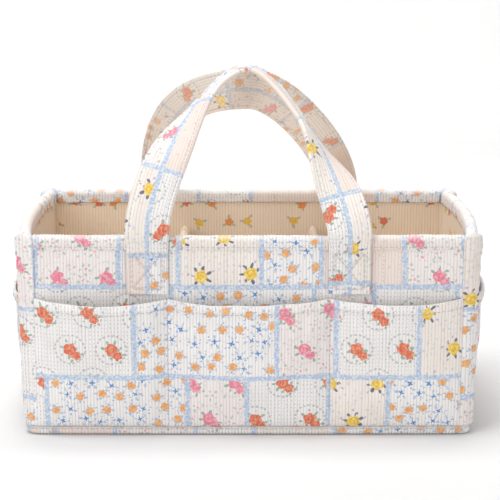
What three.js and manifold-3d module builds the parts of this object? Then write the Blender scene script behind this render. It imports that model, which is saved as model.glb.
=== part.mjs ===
// Quilted diaper caddy: an open fabric box with padded walls, slack pocket bands all round,
// two moveable dividers and a pair of twisting carry handles.
// Millimetres, +X to the right, +Y to the back, +Z up, origin on the floor under the middle of the box.

import * as THREE from 'three';
import { mergeVertices } from 'three/addons/utils/BufferGeometryUtils.js';
import Module from 'manifold-3d';

// Driving dimensions of the box
const bodyWidth = 380;
const bodyDepth = 240;
const bodyHeight = 172;
const sideDraw = 2;
const frontDraw = 2;
const sidePuff = 7;
const frontPuff = 3;
const floorPuffShare = 0.35;
const cornerRadius = 12;

// Layers of the wall, from the outside in
const clothThickness = 1;
const paddingThickness = 5;
const liningThickness = 1;
const clearance = 0.3;
const wallThickness = clothThickness + paddingThickness + liningThickness + 2 * clearance;

// Layers of the floor, from the ground up
const boardThickness = 2.5;
const floorPaddingThickness = 2.5;

// Bound edges
const rimHemHeight = 12;
const cornerRollWidth = 11;
const cornerRollProud = 1.5;
const cornerRollSideProud = 5;
const cornerRollFootProud = 2.5;
const cornerRollRise = 1.5;
const cornerRollDome = 7;
const cornerRollDomeShare = 0.8;
const footBindingHeight = 8;
const footBindingProud = 1;
const footBindingLift = 0.3;

// Pocket bands
const pocketMouthGap = 4;
const pocketMouthSag = 4;
const pocketHemHeight = 9;
const pocketHemExtra = 0.9;
const frontPocketSeamSpacing = 135;
const frontPocketSlack = 11;
const endPocketSlack = 9;
const pocketFootSlackShare = 0.2;

// Carry handles: free strap and the ends sewn down on the box
const handleSpacing = 168;
const strapWidth = 37;
const strapThickness = 6;
const strapEndWidth = 35;
const strapEndThickness = 3.6;
const strapEndLength = 49;
const hingeRise = 0.5;

// How each strap stands: the crown's height over the rim, its place in depth, the straight
// rise of its two legs, the half width of its crown, and where along a leg it twists.
const frontHandle = {
  crownHeight: 127,
  crownDepth: -12,
  leftRise: 52,
  rightRise: 34,
  leftCrown: 34,
  rightCrown: 28,
  leftTwistShares: [0.14, 0.82],
  rightTwistShares: [0.03, 0.58],
  twistDegrees: 90,
};
const backHandle = {
  crownHeight: 107,
  crownDepth: 12,
  leftRise: 66,
  rightRise: 34,
  leftCrown: 60,
  rightCrown: 32,
  leftTwistShares: [0.1, 0.6],
  rightTwistShares: [0.1, 0.6],
  twistDegrees: 8,
};

// Dividers and the tapes that hold them
const dividerSpacing = 120;
const dividerHeight = 132;
const dividerThickness = 8;
const dividerCloth = 1;
const dividerCornerRadius = 14;
const dividerTravel = 25;
const tapeHeight = 26;
const tapeBottom = 84;
const tapeThickness = 1.2;
const tapeMargin = 24;

// Facets
const wallColumns = 12;
const pocketColumnsPerBay = 12;
const pocketRowShares = [0, 0.25, 0.5, 0.75];
const cornerSteps = 6;
const ringColumns = 8;
const strapSteps = 44;
const roundSteps = 3;
const shapeSteps = 6;
const diagonalTieShare = 1e-6;

// Sizes that follow
const rimBindingRadius = wallThickness / 2 + clearance + clothThickness;
const layerTop = bodyHeight - rimBindingRadius;
const hemBottom = bodyHeight - rimHemHeight;
const pocketMouthHeight = bodyHeight - strapEndLength - pocketMouthGap;
const layerBottom = footBindingLift + footBindingHeight + clearance;
const panelInset = cornerRollWidth + clearance;
const hingeHeight = bodyHeight + hingeRise;
const strapInnerOffset = clearance + clothThickness + clearance;

// Colours
const printedCotton = { color: 0xf0e8e2, roughness: 0.95, metalness: 0 };
const liningCotton = { color: 0xe9dccf, roughness: 0.95, metalness: 0 };
const bindingCotton = { color: 0xdfdad6, roughness: 0.95, metalness: 0 };
const foam = { color: 0xf4f2ee, roughness: 1, metalness: 0 };
const greyBoard = { color: 0xa8a39a, roughness: 0.85, metalness: 0 };
const whiteTape = { color: 0xf3f1ee, roughness: 1, metalness: 0 };

const wasm = await Module();
wasm.setup();

const up = new THREE.Vector3(0, 0, 1);

// A wall's frame: `out` points away from the box, `along` runs to the right seen from outside.
function makeWall(out, length, reach, lengthDraw, reachDraw, puff) {
  const along = new THREE.Vector3().crossVectors(up, out);
  return { out, along, length, reach, lengthDraw, reachDraw, puff };
}

const walls = {
  front: makeWall(new THREE.Vector3(0, -1, 0), bodyWidth, bodyDepth / 2, sideDraw, frontDraw, frontPuff),
  back: makeWall(new THREE.Vector3(0, 1, 0), bodyWidth, bodyDepth / 2, sideDraw, frontDraw, frontPuff),
  left: makeWall(new THREE.Vector3(-1, 0, 0), bodyDepth, bodyWidth / 2, frontDraw, sideDraw, sidePuff),
  right: makeWall(new THREE.Vector3(1, 0, 0), bodyDepth, bodyWidth / 2, frontDraw, sideDraw, sidePuff),
};

function halfLength(wall, height) {
  return wall.length / 2 - wall.lengthDraw * (1 - height / bodyHeight);
}

// The padded wall swells between the corners, more at the rim than at the floor.
function swell(wall, distance, height) {
  const share = distance / (halfLength(wall, height) - cornerRadius);
  const heightShare = floorPuffShare + (1 - floorPuffShare) * (height / bodyHeight);
  return wall.puff * heightShare * Math.max(0, 1 - share * share);
}

// A point on a wall: distance along it from its middle, height, and offset out of its outer face.
function wallPoint(wall, distance, height, offset) {
  const reach = wall.reach - wall.reachDraw * (1 - height / bodyHeight) + swell(wall, distance, height) + offset;
  return new THREE.Vector3(0, 0, height)
    .addScaledVector(wall.along, distance)
    .addScaledVector(wall.out, reach);
}

function capTriangles(loop) {
  const normal = new THREE.Vector3();
  loop.forEach((p, i) => {
    const q = loop[(i + 1) % loop.length];
    normal.x += (p.y - q.y) * (p.z + q.z);
    normal.y += (p.z - q.z) * (p.x + q.x);
    normal.z += (p.x - q.x) * (p.y + q.y);
  });
  const flatten = new THREE.Quaternion().setFromUnitVectors(normal.normalize(), up);
  const contour = loop.map((p) => {
    const q = p.clone().applyQuaternion(flatten);
    return new THREE.Vector2(q.x, q.y);
  });
  return THREE.ShapeUtils.triangulateShape(contour, []).map((face) => {
    const corners = face.map((index) => contour[index]);
    return THREE.ShapeUtils.area(corners) < 0 ? [face[0], face[2], face[1]] : face;
  });
}

function signedVolume(positions, faces) {
  const corner = (index) => new THREE.Vector3().fromArray(positions, 3 * index);
  return faces.reduce((sum, [a, b, c]) => sum + corner(a).dot(corner(b).cross(corner(c))), 0);
}

// Caps a loop whose second half runs back beside its first, as round the edge of a thin layer.
function stripTriangles(loop) {
  const last = loop.length - 1;
  const faces = [];
  for (let i = 0; i < loop.length / 2 - 1; i += 1) {
    faces.push([i, i + 1, last - i - 1], [i, last - i - 1, last - i]);
  }
  return faces;
}

// Cuts a four-cornered facet along its shorter diagonal, so that parallel layers match. Where
// the two are as long, within a small share, it is always the first.
function splitQuad(positions, a, b, c, d) {
  const corner = (index) => new THREE.Vector3().fromArray(positions, 3 * index);
  const first = corner(a).distanceTo(corner(c));
  const second = corner(b).distanceTo(corner(d));
  return first <= second * (1 + diagonalTieShare) ? [[a, b, c], [a, c, d]] : [[a, b, d], [b, c, d]];
}

// Joins a row of closed loops into one solid. A ring closes on itself, a row gets two end caps.
function loft(loops, { ring = false, cap = capTriangles } = {}) {
  const count = loops[0].length;
  const positions = loops.flat().flatMap((p) => p.toArray());
  const faces = [];
  const spans = ring ? loops.length : loops.length - 1;
  for (let i = 0; i < spans; i += 1) {
    const here = i * count;
    const next = ((i + 1) % loops.length) * count;
    for (let j = 0; j < count; j += 1) {
      const k = (j + 1) % count;
      faces.push(...splitQuad(positions, here + j, here + k, next + k, next + j));
    }
  }
  if (!ring) {
    const last = (loops.length - 1) * count;
    cap(loops[0]).forEach(([a, b, c]) => faces.push([a, c, b]));
    cap(loops[loops.length - 1]).forEach(([a, b, c]) => faces.push([last + a, last + b, last + c]));
  }
  const outward = signedVolume(positions, faces) > 0;
  const geometry = new THREE.BufferGeometry();
  geometry.setAttribute('position', new THREE.Float32BufferAttribute(positions, 3));
  geometry.setIndex(faces.flatMap(([a, b, c]) => (outward ? [a, b, c] : [a, c, b])));
  return geometry;
}

function toManifold(geometry) {
  const bare = geometry.clone();
  bare.deleteAttribute('normal');
  bare.deleteAttribute('uv');
  const merged = mergeVertices(bare);
  const vertProperties = new Float32Array(merged.attributes.position.array);
  const triVerts = new Uint32Array(merged.index.array);
  return new wasm.Manifold(new wasm.Mesh({ numProp: 3, vertProperties, triVerts }));
}

function fromManifold(solid) {
  const mesh = solid.getMesh();
  const geometry = new THREE.BufferGeometry();
  geometry.setAttribute('position', new THREE.BufferAttribute(mesh.vertProperties, 3));
  geometry.setIndex(new THREE.BufferAttribute(mesh.triVerts, 1));
  return geometry;
}

function steps(count, from, to) {
  return Array.from({ length: count + 1 }, (_, i) => from + ((to - from) * i) / count);
}

// A layer of cloth or padding that follows a wall. The height of a row and the offsets of its
// two faces are functions of the distance along the wall.
function wallLayer(wall, { distances, rows, inner, outer }) {
  const loops = distances.map((distance) => {
    const heights = rows(distance);
    const outside = heights.map((z) => wallPoint(wall, distance, z, outer(distance, z)));
    const inside = heights.map((z) => wallPoint(wall, distance, z, inner(distance, z)));
    return [...outside, ...inside.reverse()];
  });
  return loft(loops, { cap: stripTriangles });
}

// A panel between two corner bindings. Its upright edges follow the draw of the wall.
function wallPanel(wall, innerOffset, outerOffset, inset = panelInset) {
  const loops = steps(wallColumns, -1, 1).map((share) => {
    const corner = (height, offset) => {
      const distance = share * (halfLength(wall, height) - inset);
      return wallPoint(wall, distance, height, offset);
    };
    return [
      corner(layerBottom, outerOffset),
      corner(layerTop, outerOffset),
      corner(layerTop, innerOffset),
      corner(layerBottom, innerOffset),
    ];
  });
  return loft(loops);
}

// The slack of a pocket band: nothing at its seams, most at the middle of a bay's mouth.
function pocketBand(wall, seams, slack) {
  const edge = halfLength(wall, layerBottom) - panelInset;
  const borders = [-edge, ...seams, edge];
  const distances = [];
  for (let bay = 0; bay < borders.length - 1; bay += 1) {
    const bayDistances = steps(pocketColumnsPerBay, borders[bay], borders[bay + 1]);
    distances.push(...(bay ? bayDistances.slice(1) : bayDistances));
  }
  const fullness = (distance) => {
    const bay = Math.max(0, borders.findIndex((border) => distance <= border) - 1);
    const middle = (borders[bay] + borders[bay + 1]) / 2;
    const half = (borders[bay + 1] - borders[bay]) / 2;
    return Math.max(0, 1 - ((distance - middle) / half) ** 2);
  };
  const mouth = (distance) => pocketMouthHeight - pocketMouthSag * fullness(distance);
  const rows = (distance) => {
    const hem = mouth(distance) - pocketHemHeight;
    const body = pocketRowShares.map((share) => layerBottom + share * (hem - layerBottom));
    return [...body, hem - pocketHemExtra, hem, mouth(distance)];
  };
  const inner = (distance, z) => {
    const heightShare = (z - layerBottom) / (mouth(distance) - layerBottom);
    const rise = pocketFootSlackShare + (1 - pocketFootSlackShare) * Math.sqrt(heightShare);
    return clearance + slack * fullness(distance) * rise * Math.min(1, heightShare / pocketFootSlackShare);
  };
  const outer = (distance, z) => {
    const hemmed = z >= mouth(distance) - pocketHemHeight;
    return inner(distance, z) + clothThickness + (hemmed ? pocketHemExtra : 0);
  };
  return wallLayer(wall, { distances, rows, inner, outer });
}

// The outline of the box in plan as a row of stations. A station gives the point for any
// offset from the outer face and any height.
function outlineStations() {
  const order = [walls.front, walls.right, walls.back, walls.left];
  const straight = (wall, z) => halfLength(wall, z) - cornerRadius;
  const stations = [];
  order.forEach((wall, index) => {
    const following = order[(index + 1) % order.length];
    steps(ringColumns, -1, 1).forEach((share) => {
      stations.push((offset, z) => wallPoint(wall, share * straight(wall, z), z, offset));
    });
    steps(cornerSteps, 0, Math.PI / 2).slice(1, -1).forEach((angle) => {
      stations.push((offset, z) => {
        const reach = cornerRadius + offset;
        return wallPoint(wall, straight(wall, z), z, -cornerRadius)
          .addScaledVector(wall.out, reach * Math.cos(angle))
          .addScaledVector(following.out, reach * Math.sin(angle));
      });
    });
  });
  return stations;
}

// Sweeps a section, points of offset and height, round the outline of the box.
function outlineRing(section) {
  const loops = outlineStations().map((station) => section.map(([offset, z]) => station(offset, z)));
  return loft(loops, { ring: true });
}

// An arc in the plane of a section, as points of offset and height.
function sectionArc(centreOffset, centreHeight, radius, fromAngle, toAngle, count) {
  return steps(count, fromAngle, toAngle).map((angle) => [
    centreOffset + radius * Math.cos(angle),
    centreHeight + radius * Math.sin(angle),
  ]);
}

// The cloth folded over the top of a wall, between the two corner rolls.
function rimBinding(wall) {
  const middle = -wallThickness / 2;
  const outside = rimBindingRadius;
  const inside = rimBindingRadius - clothThickness;
  const section = [
    [middle + outside, hemBottom],
    ...sectionArc(middle, layerTop, outside, 0, Math.PI, 2 * roundSteps),
    [middle - outside, hemBottom],
    [middle - inside, hemBottom],
    ...sectionArc(middle, layerTop, inside, Math.PI, 0, 2 * roundSteps),
    [middle + inside, hemBottom],
  ];
  const loops = steps(wallColumns, -1, 1).map((share) => section.map(([offset, z]) => {
    const distance = share * (halfLength(wall, z) - panelInset);
    return wallPoint(wall, distance, z, offset);
  }));
  return loft(loops);
}

function footBinding() {
  const radius = footBindingHeight / 2;
  const middle = footBindingLift + radius;
  const outerCentre = footBindingProud - radius;
  const innerCentre = -wallThickness + radius;
  const section = [
    ...sectionArc(outerCentre, middle, radius, -Math.PI / 2, Math.PI / 2, 2 * roundSteps),
    ...sectionArc(innerCentre, middle, radius, Math.PI / 2, (3 * Math.PI) / 2, roundSteps),
  ];
  return outlineRing(section);
}

// The bound seam at a corner: a soft quarter round as thick as the wall. It widens towards
// the rim, where it stands proud of the side, and closes in a dome.
function cornerRoll(wall, following) {
  const top = bodyHeight + cornerRollRise;
  const domeStart = top - cornerRollDome;
  const tongue = cornerRadius - cornerRollWidth;
  const innerRadius = cornerRadius - wallThickness;
  const section = (height, shrink) => {
    const rise = (height - layerBottom) / (top - layerBottom);
    const proud = (face) => {
      const sideways = Math.abs(face.out.x) > 0;
      return sideways ? THREE.MathUtils.lerp(cornerRollFootProud, cornerRollSideProud, rise) : cornerRollProud;
    };
    const centre = wallPoint(wall, halfLength(wall, height) - cornerRadius, height, -cornerRadius);
    const reachOut = cornerRadius + proud(wall);
    const reachOn = cornerRadius + proud(following);
    const arc = steps(cornerSteps, 0, Math.PI / 2).map((angle) => [
      Math.max(tongue, reachOut * Math.cos(angle)),
      Math.max(tongue, reachOn * Math.sin(angle)),
    ]);
    const outline = [...arc, [tongue, innerRadius], [innerRadius, innerRadius], [innerRadius, tongue]];
    const middle = innerRadius + wallThickness / 2;
    return outline.map(([a, b]) => centre.clone()
      .addScaledVector(wall.out, middle + (a - middle) * shrink)
      .addScaledVector(following.out, middle + (b - middle) * shrink));
  };
  const dome = steps(roundSteps, 0, 1).slice(1).map((share) => {
    const angle = share * cornerRollDomeShare * (Math.PI / 2);
    return section(domeStart + cornerRollDome * Math.sin(angle), Math.cos(angle));
  });
  return loft([section(layerBottom, 1), section(domeStart, 1), ...dome]);
}

// A rounded rectangle in plan that lies inside the foot binding.
function floorSheet(bottom, thickness, inset) {
  const width = 2 * (halfLength(walls.front, 0) - inset);
  const depth = 2 * (halfLength(walls.left, 0) - inset);
  const radius = Math.max(cornerRadius - inset, clothThickness);
  const shape = roundedRectangle(width, depth, radius, radius);
  const geometry = new THREE.ExtrudeGeometry(shape, {
    depth: thickness,
    bevelEnabled: false,
    curveSegments: roundSteps,
  });
  return geometry.translate(0, 0, bottom);
}

function roundedRectangle(width, height, lowerRadius, upperRadius) {
  const x = width / 2;
  const y = height / 2;
  const shape = new THREE.Shape();
  shape.moveTo(-x + lowerRadius, -y);
  shape.lineTo(x - lowerRadius, -y);
  shape.absarc(x - lowerRadius, -y + lowerRadius, lowerRadius, -Math.PI / 2, 0, false);
  shape.lineTo(x, y - upperRadius);
  shape.absarc(x - upperRadius, y - upperRadius, upperRadius, 0, Math.PI / 2, false);
  shape.lineTo(-x + upperRadius, y);
  shape.absarc(-x + upperRadius, y - upperRadius, upperRadius, Math.PI / 2, Math.PI, false);
  shape.lineTo(-x, -y + lowerRadius);
  shape.absarc(-x + lowerRadius, -y + lowerRadius, lowerRadius, Math.PI, (3 * Math.PI) / 2, false);
  return shape;
}

// The end of a strap, sewn flat on the wall over the rim binding.
function strapEnd(wall, side) {
  const middle = (side * handleSpacing) / 2;
  const top = hingeHeight - clearance / 2;
  const bottom = hemBottom - (strapEndLength - rimHemHeight);
  const stepTop = hemBottom;
  const stepBottom = hemBottom - strapInnerOffset;
  const inner = (_, z) => (z >= stepTop ? strapInnerOffset : clearance);
  const outer = (distance, z) => inner(distance, z) + strapEndThickness;
  return wallLayer(wall, {
    distances: steps(shapeSteps, middle - strapEndWidth / 2, middle + strapEndWidth / 2),
    rows: () => [bottom, stepBottom, stepTop, top],
    inner,
    outer,
  });
}

function smoothstep(share, [from, to]) {
  const t = THREE.MathUtils.clamp((share - from) / (to - from), 0, 1);
  return t * t * (3 - 2 * t);
}

// A stadium section of the strap, width across and thickness through.
function strapSection() {
  const radius = strapThickness / 2;
  const reach = strapWidth / 2 - radius;
  const right = sectionArc(reach, 0, radius, -Math.PI / 2, Math.PI / 2, roundSteps);
  const left = sectionArc(-reach, 0, radius, Math.PI / 2, (3 * Math.PI) / 2, roundSteps);
  return [...right, ...left];
}

// One half of an arch, from the rim to the crown, as a cubic curve that starts upright.
function archHalf(wall, handle, side, rise, crown) {
  const rootDepth = strapRootDepth(wall);
  const startHeight = hingeHeight + clearance / 2;
  const crownHeight = bodyHeight + handle.crownHeight;
  const x = (side * handleSpacing) / 2;
  return [
    new THREE.Vector3(x, rootDepth, startHeight),
    new THREE.Vector3(x, rootDepth, startHeight + rise),
    new THREE.Vector3(side * crown, handle.crownDepth, crownHeight),
    new THREE.Vector3(0, handle.crownDepth, crownHeight),
  ];
}

// Where the middle of a strap leaves the rim: outside the rim binding.
function strapRootDepth(wall) {
  return wallPoint(wall, handleSpacing / 2, bodyHeight, strapInnerOffset + strapThickness / 2).y;
}

// A padded strap that leaves the wall flat and twists on its way to the crown.
function handleStrap(wall, handle) {
  const left = archHalf(wall, handle, -1, handle.leftRise, handle.leftCrown);
  const right = archHalf(wall, handle, 1, handle.rightRise, handle.rightCrown);
  const path = new THREE.CurvePath();
  path.add(new THREE.CubicBezierCurve3(...left));
  path.add(new THREE.CubicBezierCurve3(...right.reverse()));
  const lengths = path.getCurveLengths();
  const crownShare = lengths[0] / lengths[1];
  const section = strapSection();
  const loops = steps(strapSteps, 0, 1).map((share) => {
    const legShare = share < crownShare ? share / crownShare : (1 - share) / (1 - crownShare);
    const shares = share < crownShare ? handle.leftTwistShares : handle.rightTwistShares;
    const twist = THREE.MathUtils.degToRad(handle.twistDegrees) * smoothstep(legShare, shares);
    const centre = path.getPointAt(share);
    const tangent = path.getTangentAt(share);
    const crown = new THREE.Vector3(-tangent.z, 0, tangent.x).normalize();
    const face = wall.out.clone().addScaledVector(tangent, -wall.out.dot(tangent)).normalize();
    const normal = face.multiplyScalar(Math.cos(twist)).addScaledVector(crown, Math.sin(twist));
    const across = new THREE.Vector3().crossVectors(normal, tangent);
    return section.map(([a, b]) => centre.clone().addScaledVector(across, a).addScaledVector(normal, b));
  });
  return loft(loops);
}

// Room for a divider's end at a height: the lining's face where the wall is nearest on the
// divider's travel, less the loop tape and the gap on either side of it.
function dividerReach(height) {
  const farthest = dividerSpacing / 2 + dividerTravel + dividerThickness / 2;
  const lining = Math.abs(wallPoint(walls.front, farthest, height, -wallThickness).y);
  return lining - tapeThickness - 2 * clearance;
}

// A divider's outline in the plane of depth and height, drawn in by an inset.
function dividerShape(inset, bottom) {
  const top = layerBottom + dividerHeight - inset;
  const end = (height) => dividerReach(height) - tapeThickness - clearance - inset;
  const radius = dividerCornerRadius - inset;
  const shape = new THREE.Shape();
  shape.moveTo(-end(bottom), bottom);
  shape.lineTo(end(bottom), bottom);
  shape.lineTo(end(top), top - radius);
  shape.quadraticCurveTo(end(top), top, end(top) - radius, top);
  shape.lineTo(-end(top) + radius, top);
  shape.quadraticCurveTo(-end(top), top, -end(top), top - radius);
  return shape;
}

// Turns an outline in depth and height into a slab across the width.
function crossSlab(shape, thickness, x) {
  const geometry = new THREE.ExtrudeGeometry(shape, {
    depth: thickness,
    bevelEnabled: false,
    curveSegments: shapeSteps,
  });
  geometry.translate(0, 0, -thickness / 2);
  geometry.rotateX(Math.PI / 2);
  geometry.rotateZ(Math.PI / 2);
  return geometry.translate(x, 0, 0);
}

// The sewn sleeve of a divider: closed round its edges, open at the bottom for the core.
function dividerSleeve(x) {
  const outside = toManifold(crossSlab(dividerShape(0, layerBottom), dividerThickness, x));
  const cavity = dividerShape(dividerCloth, layerBottom - dividerCloth);
  const inside = toManifold(crossSlab(cavity, dividerThickness - 2 * dividerCloth, x));
  return fromManifold(outside.subtract(inside));
}

function dividerCore(x) {
  const inset = dividerCloth + clearance;
  const thickness = dividerThickness - 2 * inset;
  return crossSlab(dividerShape(inset, layerBottom), thickness, x);
}

// A strip of hook tape on a divider's end, facing the loop tape on the lining.
function hookStrip(x, side) {
  const loops = [tapeBottom, tapeBottom + tapeHeight].map((height) => {
    const outer = dividerReach(height);
    const inner = outer - tapeThickness;
    const half = dividerThickness / 2;
    return [
      new THREE.Vector3(x - half, side * inner, height),
      new THREE.Vector3(x + half, side * inner, height),
      new THREE.Vector3(x + half, side * outer, height),
      new THREE.Vector3(x - half, side * outer, height),
    ];
  });
  return loft(loops);
}

// The loop tape sewn along a long wall's lining.
function loopTape(wall) {
  const reach = halfLength(wall, tapeBottom) - panelInset - tapeMargin;
  const innerOffset = -wallThickness - clearance - tapeThickness;
  return wallLayer(wall, {
    distances: steps(wallColumns, -reach, reach),
    rows: () => [tapeBottom, tapeBottom + tapeHeight],
    inner: () => innerOffset,
    outer: () => innerOffset + tapeThickness,
  });
}

const caddy = new THREE.Group();
caddy.name = 'diaper_caddy';

function addPart(name, geometry, look) {
  const flat = geometry.index ? geometry.toNonIndexed() : geometry;
  flat.computeVertexNormals();
  const mesh = new THREE.Mesh(flat, new THREE.MeshStandardMaterial(look));
  mesh.name = name;
  caddy.add(mesh);
}

// Walls: printed cloth, padding and lining, layer behind layer
const outerFace = [-clothThickness, 0];
const paddingOuter = -clothThickness - clearance;
const paddingFace = [paddingOuter - paddingThickness, paddingOuter];
const liningFace = [-wallThickness, -wallThickness + liningThickness];
Object.entries(walls).forEach(([side, wall]) => {
  addPart(`${side}_outer_panel`, wallPanel(wall, ...outerFace), printedCotton);
  addPart(`${side}_padding`, wallPanel(wall, ...paddingFace), foam);
  addPart(`${side}_lining`, wallPanel(wall, ...liningFace), liningCotton);
  addPart(`${side}_rim_binding`, rimBinding(wall), printedCotton);
});

// Floor: cloth, stiff board, padding and lining, one on another
const floorInset = wallThickness + clearance;
const boardBottom = clothThickness + clearance;
const floorPaddingBottom = boardBottom + boardThickness + clearance;
const floorLiningBottom = floorPaddingBottom + floorPaddingThickness + clearance;
addPart('bottom_outer_panel', floorSheet(0, clothThickness, floorInset), printedCotton);
addPart('base_board', floorSheet(boardBottom, boardThickness, floorInset), greyBoard);
addPart('bottom_padding', floorSheet(floorPaddingBottom, floorPaddingThickness, floorInset), foam);
addPart('bottom_lining', floorSheet(floorLiningBottom, liningThickness, floorInset), liningCotton);

// Pocket bands
const longSeams = [-frontPocketSeamSpacing / 2, frontPocketSeamSpacing / 2];
addPart('front_pocket_band', pocketBand(walls.front, longSeams, frontPocketSlack), printedCotton);
addPart('back_pocket_band', pocketBand(walls.back, longSeams, frontPocketSlack), printedCotton);
addPart('left_pocket_band', pocketBand(walls.left, [], endPocketSlack), printedCotton);
addPart('right_pocket_band', pocketBand(walls.right, [], endPocketSlack), printedCotton);

// Bound edges
addPart('foot_binding', footBinding(), bindingCotton);
addPart('front_right_corner_roll', cornerRoll(walls.front, walls.right), printedCotton);
addPart('back_right_corner_roll', cornerRoll(walls.right, walls.back), printedCotton);
addPart('back_left_corner_roll', cornerRoll(walls.back, walls.left), printedCotton);
addPart('front_left_corner_roll', cornerRoll(walls.left, walls.front), printedCotton);

// Handles
addPart('front_handle_strap', handleStrap(walls.front, frontHandle), printedCotton);
addPart('back_handle_strap', handleStrap(walls.back, backHandle), printedCotton);
addPart('front_handle_left_end', strapEnd(walls.front, -1), printedCotton);
addPart('front_handle_right_end', strapEnd(walls.front, 1), printedCotton);
addPart('back_handle_left_end', strapEnd(walls.back, 1), printedCotton);
addPart('back_handle_right_end', strapEnd(walls.back, -1), printedCotton);

// Dividers
addPart('front_loop_tape', loopTape(walls.front), whiteTape);
addPart('back_loop_tape', loopTape(walls.back), whiteTape);
[['left', -1], ['right', 1]].forEach(([name, side]) => {
  const x = (side * dividerSpacing) / 2;
  addPart(`${name}_divider_sleeve`, dividerSleeve(x), liningCotton);
  addPart(`${name}_divider_core`, dividerCore(x), foam);
  addPart(`${name}_divider_front_hook`, hookStrip(x, -1), whiteTape);
  addPart(`${name}_divider_back_hook`, hookStrip(x, 1), whiteTape);
});

export default caddy;
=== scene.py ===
"""A quilted fabric caddy on a pale studio floor: padded walls, slack pockets and twisting handles."""

import math
from functools import partial, partialmethod
from itertools import accumulate

import bmesh
import bpy
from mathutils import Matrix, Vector, noise


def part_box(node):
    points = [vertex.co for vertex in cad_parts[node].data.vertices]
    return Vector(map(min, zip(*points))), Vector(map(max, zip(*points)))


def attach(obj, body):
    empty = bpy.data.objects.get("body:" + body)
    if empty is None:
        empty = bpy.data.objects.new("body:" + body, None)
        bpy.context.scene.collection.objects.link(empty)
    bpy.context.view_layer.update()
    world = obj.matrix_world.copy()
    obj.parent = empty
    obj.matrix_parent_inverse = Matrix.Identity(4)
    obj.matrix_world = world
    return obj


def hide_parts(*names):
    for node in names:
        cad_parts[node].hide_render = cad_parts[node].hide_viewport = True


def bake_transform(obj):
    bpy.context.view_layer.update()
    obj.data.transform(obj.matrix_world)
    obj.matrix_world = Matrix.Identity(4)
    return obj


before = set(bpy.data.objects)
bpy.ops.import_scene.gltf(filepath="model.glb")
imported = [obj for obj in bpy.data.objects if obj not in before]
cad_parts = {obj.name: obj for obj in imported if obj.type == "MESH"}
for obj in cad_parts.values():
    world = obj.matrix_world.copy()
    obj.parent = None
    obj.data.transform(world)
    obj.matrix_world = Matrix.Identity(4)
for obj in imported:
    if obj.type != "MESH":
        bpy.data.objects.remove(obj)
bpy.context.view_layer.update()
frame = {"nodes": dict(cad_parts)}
scene = bpy.context.scene

# Shape of the box, in metres
body_width = 0.380
body_depth = 0.240
body_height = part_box("front_rim_binding")[1].z
side_draw = 0.002
front_draw = 0.002
side_puff = 0.007
front_puff = 0.003
floor_puff_share = 0.35
corner_radius = 0.012
corner_arc = corner_radius * math.pi / 2

# Layers of a wall
cloth = 0.001
gap = 0.0003
padding = 0.005
wall_thickness = 0.0076
panel_inset = 0.0105
layer_bottom, layer_top = (corner.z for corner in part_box("front_outer_panel"))
hem_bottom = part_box("front_rim_binding")[0].z
rim_radius = body_height - layer_top
rim_rib_growth = 2.2
rim_print_step = 0.0013
hem_stitch_drop = 0.0095
lining_rise_share = 0.25
wall_rows = 44
lining_rows = 30

# Pocket bands
pocket_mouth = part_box("front_pocket_band")[1].z
pocket_sag = 0.004
pocket_hem = 0.009
pocket_hem_extra = 0.0007
pocket_roll = 0.0026
pocket_stitch_rise = 0.0015
pocket_stitch_dip = 0.0009
pocket_stitch_width = 0.0012
pocket_print_shift = 0.031
pocket_fullness = 2.7
long_seams = (-0.0675, 0.0675)
long_slack = 0.011
end_slack = 0.0045
end_fold_share = 0.4
foot_slack_share = 0.2
pucker_reach = 0.014
pucker_start = 0.004
pucker_depth = 0.0009
pucker_pitch = 0.017

# Corner rolls, and where on the print each lies, in patches
roll_width = 0.011
roll_proud = 0.0015
roll_side_proud = 0.005
roll_foot_proud = 0.0025
roll_rise = 0.0015
roll_dome = 0.007
roll_dome_turn = math.pi / 2 * 0.97
roll_cap_height = 0.020
roll_cap_proud = 0.0009
roll_cap_slope = 0.002
roll_cap_dip = 0.0005
roll_cap_dip_width = 0.0016
roll_rib_growth = 1.2
roll_arc_steps = 20
roll_rows = 150
roll_places = {"front_right": 20.1, "back_right": 23.1, "back_left": 26.1, "front_left": 29.1}
roll_print_step = 0.0009
roll_print_rise = 0.02

# Foot binding, whose ribs cut deeper on its front and deepest where it turns under
foot_low, foot_high = (corner.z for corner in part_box("foot_binding"))
foot_proud = 0.001
foot_shift = 0.297
foot_rib_growth = 1.4
foot_under_growth = 2.6
foot_stitch_drop = 0.0025
foot_print_step = 0.001
foot_print_rise = 0.09

# Floor, as rings that close on its middle
floor_corner = 0.006
floor_crown = 0.0003
floor_steps = 320
floor_rings = (0.08, 0.3, 0.5, 0.65, 0.8, 0.9, 0.97, 1)

# Handles
handle_spacing = 0.168
hinge_height = 0.1725
strap_width = 0.037
strap_thickness = 0.006
strap_end_width = 0.035
strap_end_thickness = 0.0036
strap_end_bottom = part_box("front_handle_left_end")[0].z
strap_inner_offset = 0.0016
strap_seam_inset = 0.0035
strap_seam_share = 1 - strap_seam_inset / (strap_width / 2)
strap_seam_spread = 0.06
strap_seam_dip = 0.0007
strap_least = 0.0002
strap_rib_share = 0.96
strap_edge_share = 0.985
strap_lift_heights = (hem_bottom - 0.004, hem_bottom + 0.001)
strap_free_heights = (hem_bottom + 0.004, hinge_height)
strap_steps = 110

# The sewn box with a cross in it on each strap end: rows of the end's mesh, and a share of its half width
end_rows = 56
box_low_row = 5
box_high_row = 40
box_reach = 0.70
box_dip = 0.0009
box_dip_width = 0.0011
box_puff = 0.0006

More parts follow.
